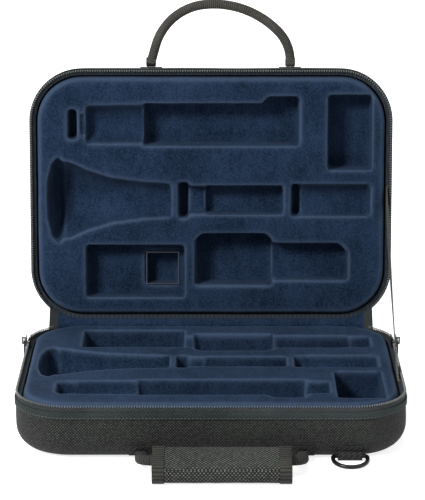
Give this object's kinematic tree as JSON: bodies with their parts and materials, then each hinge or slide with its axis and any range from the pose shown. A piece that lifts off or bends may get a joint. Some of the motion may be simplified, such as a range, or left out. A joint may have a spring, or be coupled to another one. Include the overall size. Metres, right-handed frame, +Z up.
{
  "type": "zip-around instrument case",
  "caption": "Zip-around soft case for a clarinet, open on its stay, with moulded plush inserts, a fabric hinge, two webbing handles with a padded wrap, a D-ring and zip sliders with pulls.",
  "frame": {"origin": "centre of the base's flat bottom, on the surface the case stands on", "axes": "+X to the right seen from the front, +Y to the hinge at the rear, +Z up"},
  "size_m": [0.338, 0.355, 0.3385],
  "materials": {
    "nylon": "matte",
    "binding": "matte",
    "board": "matte",
    "plush": "matte",
    "zip_tape": "matte",
    "zip_coil": "satin",
    "hinge_fabric": "matte",
    "ribbon": "matte",
    "liner": "satin",
    "webbing": "matte",
    "wrap_fabric": "matte",
    "wrap_binding": "matte",
    "hook_tape": "matte",
    "black_metal": "gloss"
  },
  "bodies": {
    "base": {"base_cover": "nylon", "base_shell": "board", "base_insert": "plush", "base_rim_binding": "binding", "base_zip_tape": "zip_tape", "base_zip_coil": "zip_coil", "hinge_gusset": "hinge_fabric", "lid_stay": "ribbon", "base_stay_anchor": "ribbon", "zip_stop_left": "ribbon", "zip_stop_right": "ribbon", "base_handle_tab_left": "webbing", "base_handle_tab_right": "webbing", "d_ring_tab": "webbing"},
    "lid": {"lid_cover": "nylon", "lid_shell": "board", "lid_insert": "plush", "lid_rim_binding": "binding", "lid_zip_tape": "zip_tape", "lid_zip_coil": "zip_coil", "lid_well_liner": "liner", "lid_stay_anchor": "ribbon", "lid_handle_tab_left": "webbing", "lid_handle_tab_right": "webbing"},
    "lid_handle": {"lid_handle": "webbing"},
    "base_handle": {"base_handle": "webbing", "grip_pad": "wrap_fabric", "grip_pad_binding_left": "wrap_binding", "grip_pad_binding_right": "wrap_binding", "grip_loop_strip": "hook_tape"},
    "grip_flap": {"grip_flap": "wrap_fabric", "grip_flap_binding_left": "wrap_binding", "grip_flap_binding_right": "wrap_binding", "grip_hook_strip": "hook_tape"},
    "d_ring": {"d_ring": "black_metal"},
    "left_slider": {"left_slider": "black_metal"},
    "right_slider": {"right_slider": "black_metal"},
    "left_pull": {"left_pull": "black_metal"},
    "right_pull": {"right_pull": "black_metal"}
  },
  "joints": [
    {"name": "lid_hinge", "type": "hinge", "parent": "base", "child": "lid", "pos_m": [0, 0.116, 0.049], "axis": [1, 0, 0], "range_deg": [0, 96], "deforming": ["hinge_gusset", "lid_stay"]},
    {"name": "lid_handle_swing", "type": "hinge", "parent": "lid", "child": "lid_handle", "pos_m": [0.009, 0.16363, 0.2821], "axis": [-1, 0, 0], "range_deg": [-80, 80], "stiffness_Nm_per_rad": 0.03},
    {"name": "base_handle_swing", "type": "hinge", "parent": "base", "child": "base_handle", "pos_m": [0.009, -0.11693, 0.00493], "axis": [-1, 0, 0], "range_deg": [-75, 42]},
    {"name": "grip_flap_open", "type": "hinge", "parent": "base_handle", "child": "grip_flap", "pos_m": [0.009, -0.17323, 0.00684], "axis": [1, 0, 0], "range_deg": [0, 170]},
    {"name": "d_ring_swing", "type": "hinge", "parent": "base", "child": "d_ring", "pos_m": [0.115, -0.11338, 0.00408], "axis": [-1, 0, 0], "range_deg": [-70, 65]},
    {"name": "left_slider_travel", "type": "slide", "parent": "base", "child": "left_slider", "axis": [0, -1, 0], "range_m": [0, 0.12]},
    {"name": "right_slider_travel", "type": "slide", "parent": "base", "child": "right_slider", "axis": [0, -1, 0], "range_m": [0, 0.12]},
    {"name": "left_pull_swing", "type": "hinge", "parent": "left_slider", "child": "left_pull", "pos_m": [-0.16667, 0.06, 0.049], "axis": [0, 1, 0], "range_deg": [0, 150]},
    {"name": "right_pull_swing", "type": "hinge", "parent": "right_slider", "child": "right_pull", "pos_m": [0.16667, 0.06, 0.049], "axis": [0, -1, 0], "range_deg": [0, 150]}
  ]
}
